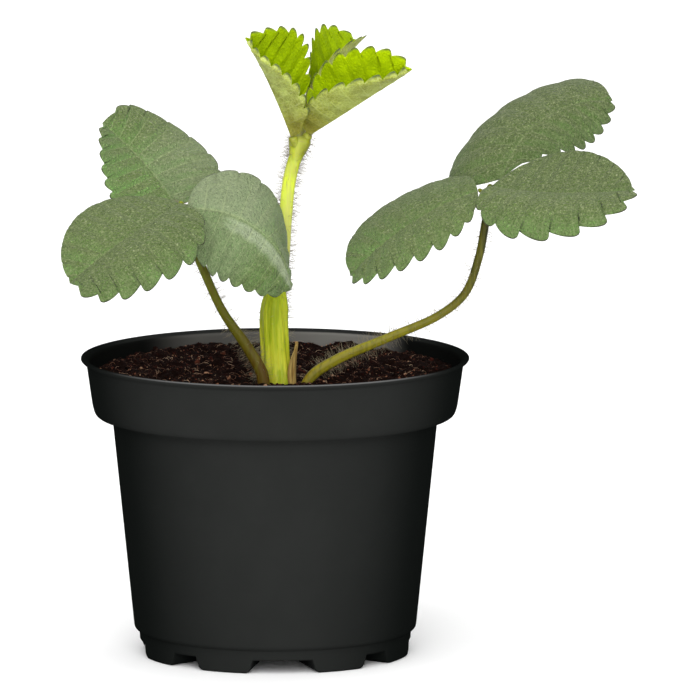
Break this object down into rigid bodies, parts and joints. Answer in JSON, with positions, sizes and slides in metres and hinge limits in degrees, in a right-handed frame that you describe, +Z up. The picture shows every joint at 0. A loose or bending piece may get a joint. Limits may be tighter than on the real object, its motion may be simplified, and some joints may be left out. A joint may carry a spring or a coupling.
{
  "type": "potted strawberry plant",
  "caption": "Young strawberry plant with three-part toothed leaves on hairy stalks, growing in the soil of a round black plastic nursery pot.",
  "frame": {"origin": "on the pot's axis, in the plane that the pot stands on", "axes": "+Z up, -Y towards the front, +X to the right seen from the front"},
  "size_m": [0.1741, 0.1324, 0.1978],
  "materials": {
    "pot": "satin black moulded plastic",
    "soil": "moist crumbly coir and peat with fibres",
    "roots": "matt brown",
    "crown": "ribbed, hairy yellow-green",
    "stipule": "dry, papery tan with brown streaks",
    "stalk_olive": "hairy olive green",
    "stalk_yellow": "hairy yellow-olive",
    "stalk_light": "hairy light yellow-green",
    "leaf": "matt grey-green with impressed veins",
    "young_leaf": "bright lime green, paler beneath"
  },
  "bodies": {
    "root": {"pot": "pot", "soil": "soil", "roots": "roots", "crown": "crown", "stipule": "stipule", "petiole_left": "stalk_olive", "petiole_right": "stalk_yellow", "petiole_centre": "stalk_light", "leaflet_left_front": "leaf", "leaflet_left_back": "leaf", "leaflet_left_right": "leaf", "leaflet_right_left": "leaf", "leaflet_right_back": "leaf", "leaflet_right_front": "leaf", "young_leaflet_left": "young_leaf", "young_leaflet_right": "young_leaf", "young_leaflet_back": "young_leaf"}
  },
  "joints": []
}
